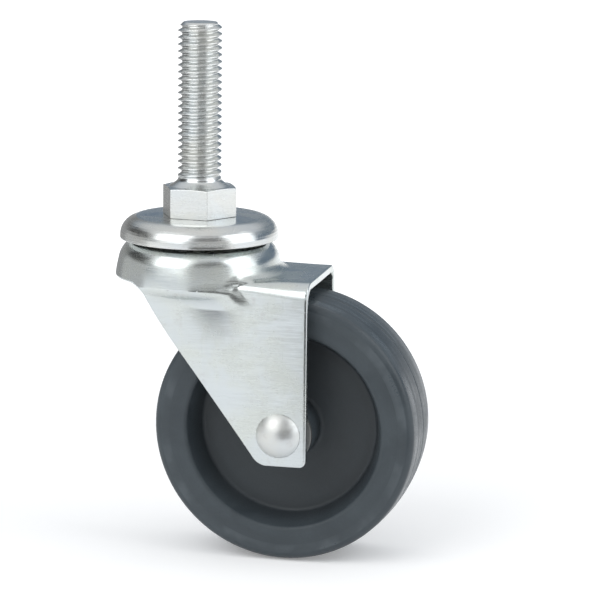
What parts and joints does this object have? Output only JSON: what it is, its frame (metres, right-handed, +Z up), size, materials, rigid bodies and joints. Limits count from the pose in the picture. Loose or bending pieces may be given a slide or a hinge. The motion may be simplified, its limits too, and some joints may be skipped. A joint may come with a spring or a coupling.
{
  "type": "stem castor",
  "caption": "Swivel castor with a threaded stem and hex collar, a ball-bearing head, a pressed steel fork and a solid rubber wheel on a riveted axle.",
  "frame": {"origin": "on the swivel axis at the seat face on top of the hex collar, where the stem starts", "axes": "+Z up along the stem and the swivel axis; the fork trails towards +X; the axle lies along Y"},
  "size_m": [0.0901, 0.0484, 0.1517],
  "materials": {
    "zinc_stem": "bright zinc plated",
    "zinc_cap": "bright zinc plated",
    "zinc_cup": "bright zinc plated",
    "zinc_fork": "bright zinc plated",
    "zinc_rivet": "bright zinc plated",
    "zinc_washer": "bright zinc plated",
    "plain_steel": "plain",
    "ball_steel": "polished",
    "hard_rubber": "matt with a slight sheen"
  },
  "bodies": {
    "head": {"stem": "zinc_stem", "cap": "zinc_cap", "lower_cup": "zinc_cup"},
    "fork": {"fork": "zinc_fork", "axle_rivet": "zinc_rivet", "axle_sleeve": "plain_steel", "washer_near": "zinc_washer", "washer_far": "zinc_washer"},
    "wheel": {"wheel": "hard_rubber", "bushing": "plain_steel"},
    "upper_balls": {"upper_ball_1": "ball_steel", "upper_ball_2": "ball_steel", "upper_ball_3": "ball_steel", "upper_ball_4": "ball_steel", "upper_ball_5": "ball_steel", "upper_ball_6": "ball_steel", "upper_ball_7": "ball_steel", "upper_ball_8": "ball_steel", "upper_ball_9": "ball_steel", "upper_ball_10": "ball_steel", "upper_ball_11": "ball_steel", "upper_ball_12": "ball_steel", "upper_ball_13": "ball_steel", "upper_ball_14": "ball_steel", "upper_ball_15": "ball_steel", "upper_ball_16": "ball_steel", "upper_ball_17": "ball_steel", "upper_ball_18": "ball_steel", "upper_ball_19": "ball_steel"},
    "lower_balls": {"lower_ball_1": "ball_steel", "lower_ball_2": "ball_steel", "lower_ball_3": "ball_steel", "lower_ball_4": "ball_steel", "lower_ball_5": "ball_steel", "lower_ball_6": "ball_steel", "lower_ball_7": "ball_steel", "lower_ball_8": "ball_steel", "lower_ball_9": "ball_steel", "lower_ball_10": "ball_steel", "lower_ball_11": "ball_steel", "lower_ball_12": "ball_steel", "lower_ball_13": "ball_steel", "lower_ball_14": "ball_steel"}
  },
  "joints": [
    {"name": "swivel", "type": "hinge", "parent": "head", "child": "fork", "pos_m": [0, 0, -0.018], "axis": [0, 0, 1], "continuous": true},
    {"name": "wheel_spin", "type": "hinge", "parent": "fork", "child": "wheel", "pos_m": [0.0278, 0, -0.06716], "axis": [0, 1, 0], "continuous": true},
    {"name": "upper_ring", "type": "hinge", "parent": "head", "child": "upper_balls", "pos_m": [0, 0, -0.01238], "axis": [0, 0, 1], "continuous": true},
    {"name": "lower_ring", "type": "hinge", "parent": "head", "child": "lower_balls", "pos_m": [0, 0, -0.01864], "axis": [0, 0, 1], "continuous": true}
  ],
  "couplings": [
    {"joint": "upper_ring", "follows": "swivel", "ratio": 0.5},
    {"joint": "lower_ring", "follows": "swivel", "ratio": 0.5}
  ]
}
